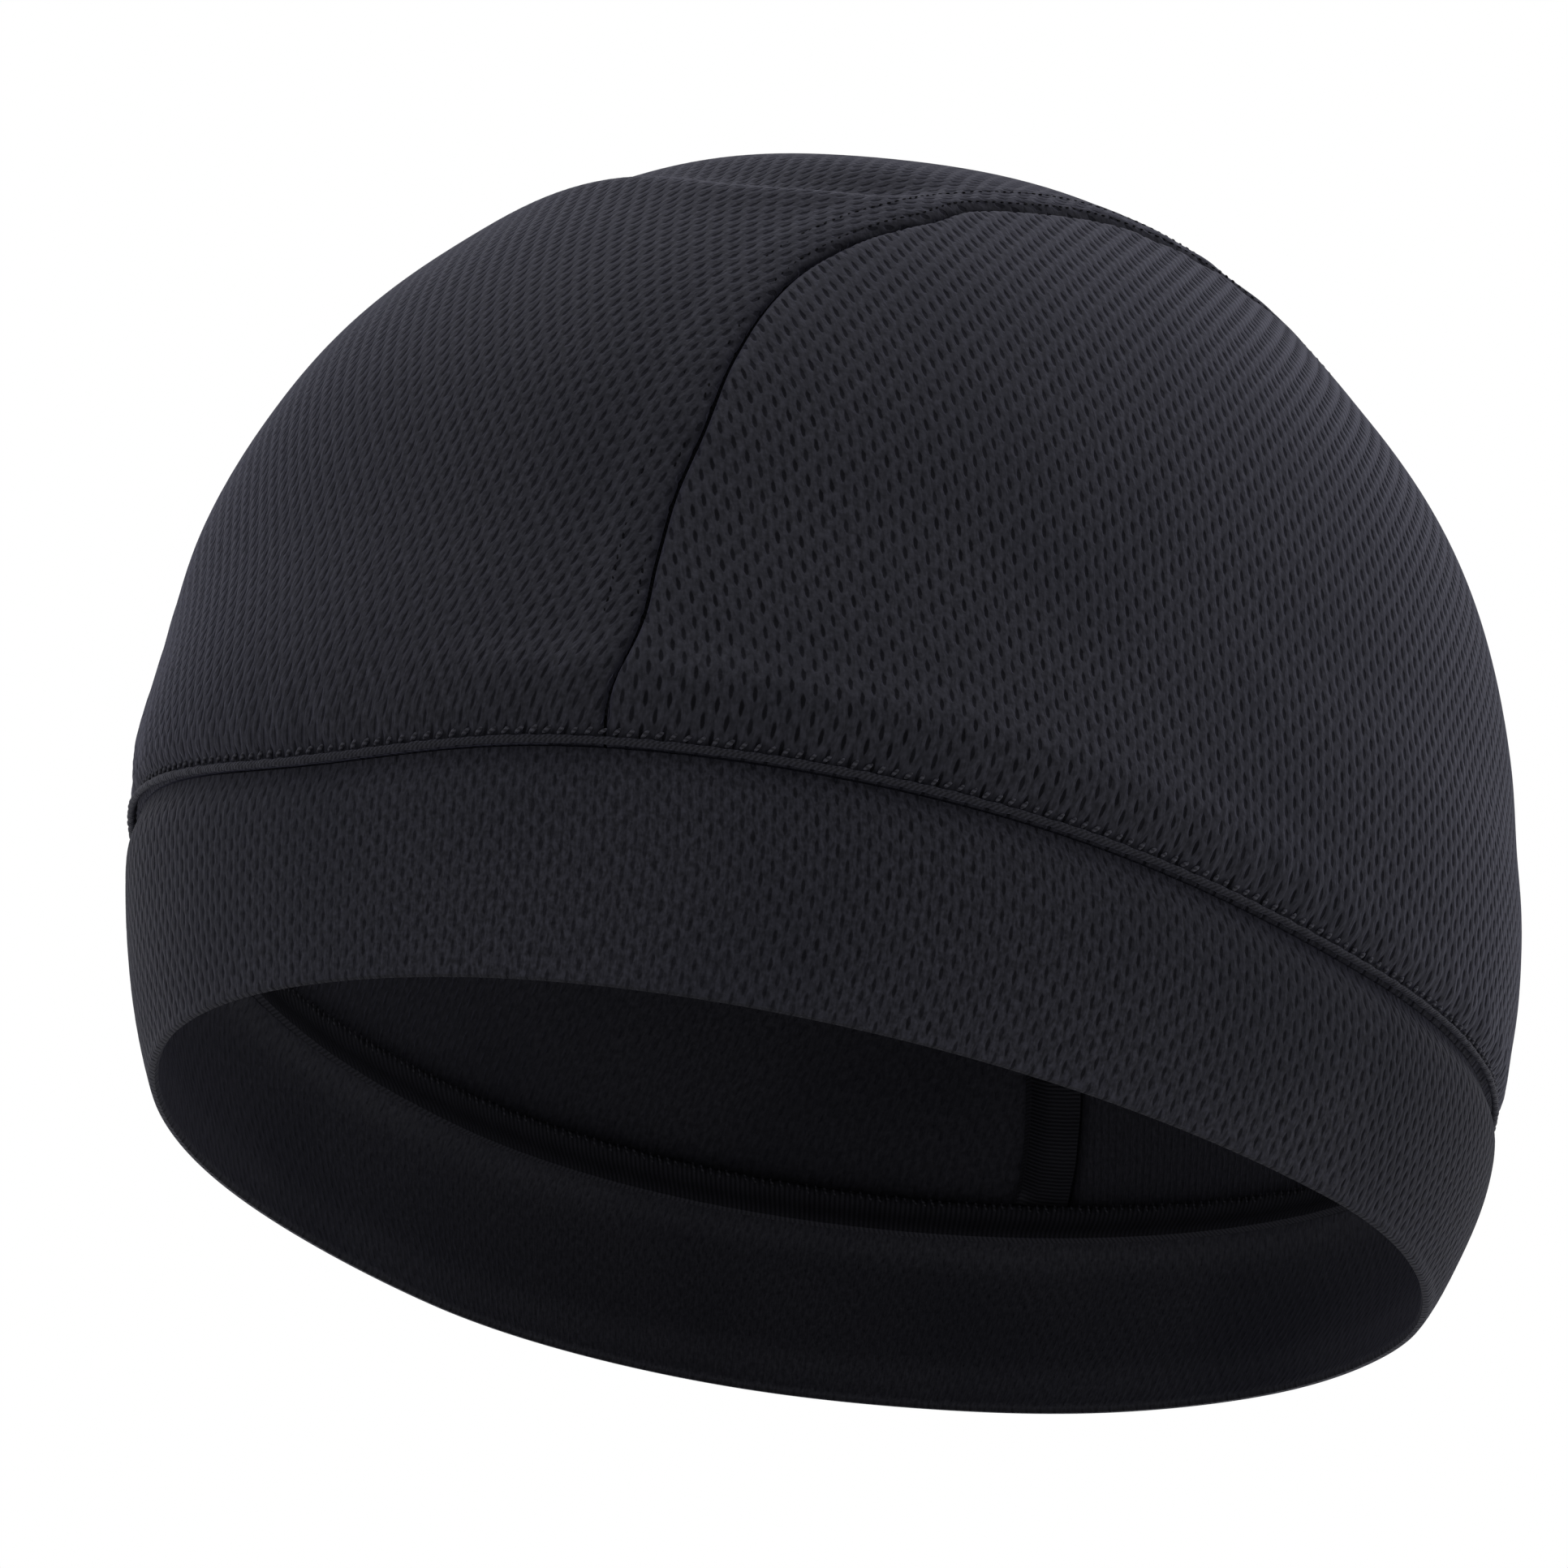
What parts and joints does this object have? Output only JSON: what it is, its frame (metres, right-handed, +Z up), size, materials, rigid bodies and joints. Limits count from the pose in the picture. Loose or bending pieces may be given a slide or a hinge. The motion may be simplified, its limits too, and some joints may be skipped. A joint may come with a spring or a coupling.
{
  "type": "cooling beanie",
  "caption": "Close-fitting skull cap of eyelet mesh: a strip from front to back, a panel on each side and a doubled band round the open bottom",
  "frame": {"origin": "the inside of the crown's top, where the head carries the cap", "axes": "+Z up, -Y the wearer's front, +X the wearer's left"},
  "size_m": [0.162, 0.1923, 0.1427],
  "materials": {
    "crown_mesh": "matt polyester eyelet mesh with a faint sheen",
    "band_mesh": "the same mesh, doubled and folded at the rim",
    "rolled_edge": "tightly rolled knit edge",
    "overlocked_edge": "overlocked seam allowance"
  },
  "bodies": {
    "root": {"crown_centre_panel": "crown_mesh", "crown_left_panel": "crown_mesh", "crown_right_panel": "crown_mesh", "band": "band_mesh", "band_seam_rib": "rolled_edge", "band_seam_allowance": "overlocked_edge", "left_seam_allowance": "overlocked_edge", "right_seam_allowance": "overlocked_edge"}
  },
  "joints": []
}
